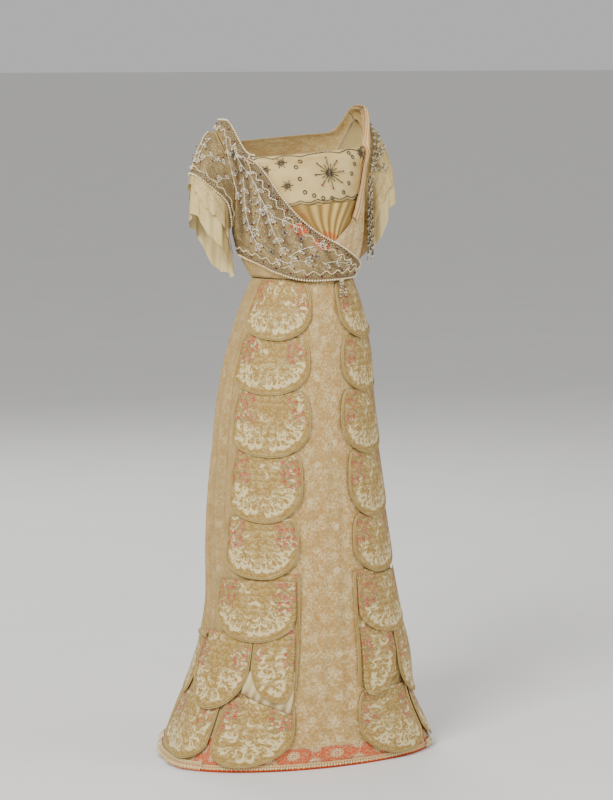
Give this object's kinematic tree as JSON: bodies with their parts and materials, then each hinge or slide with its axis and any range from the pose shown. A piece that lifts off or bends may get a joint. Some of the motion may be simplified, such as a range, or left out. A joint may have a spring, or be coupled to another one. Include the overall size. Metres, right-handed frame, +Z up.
{
  "type": "evening dress",
  "caption": "Evening dress of about 1911: lace over coral satin, crossed beaded bodice, sheer sleeves, figured-silk scallops and a small train",
  "frame": {"origin": "midway between the shoulders, on top of them, where the wearer carries the dress", "axes": "+Z up, front towards -Y, the wearer's left towards +X"},
  "size_m": [0.6059, 0.5191, 1.3541],
  "materials": {
    "lace": "cotton net lace with rose and leaf figures, cream over coral at the front",
    "figured_silk": "cream silk figured with gold ribs, white scrolls and red roses, piped in cream satin",
    "coral_satin": "smooth coral satin",
    "beaded_net": "grey-beige net worked with pearls, bugle beads and garnets",
    "chiffon": "sheer cream chiffon",
    "beads": "pearl, silver-lined bugle and garnet beads"
  },
  "bodies": {
    "root": {"bead_festoon": "beads", "bodice_back": "lace", "bodice_front": "lace", "cap_left": "lace", "cap_right": "beaded_net", "centre_gathers": "chiffon", "drape_back_left": "lace", "drape_back_right": "beaded_net", "drape_front_left": "lace", "drape_front_right": "beaded_net", "hem_petal_front_left": "figured_silk", "hem_petal_front_right": "figured_silk", "hem_petal_side_left": "figured_silk", "hem_petal_side_right": "figured_silk", "hem_ruffle": "lace", "long_panel_left": "figured_silk", "long_panel_right": "figured_silk", "neck_band_left": "chiffon", "scallop_1_left": "figured_silk", "scallop_1_right": "figured_silk", "scallop_2_left": "figured_silk", "scallop_2_right": "figured_silk", "scallop_3_left": "figured_silk", "scallop_3_right": "figured_silk", "scallop_4_left": "figured_silk", "scallop_4_right": "figured_silk", "scallop_5_left": "figured_silk", "scallop_5_right": "figured_silk", "scallop_6_left": "figured_silk", "scallop_6_right": "figured_silk", "scallop_7_left": "figured_silk", "scallop_7_right": "figured_silk", "shoulder_tassel": "beads", "side_petal_back_left": "figured_silk", "side_petal_back_right": "figured_silk", "side_petal_upper_left": "figured_silk", "side_petal_upper_right": "figured_silk", "skirt_back": "lace", "skirt_front": "lace", "skirt_side_left": "lace", "skirt_side_right": "lace", "sleeve_left": "chiffon", "sleeve_right": "chiffon", "underskirt_hem": "coral_satin", "waist_tassel": "beads", "yoke": "beaded_net"}
  },
  "joints": []
}
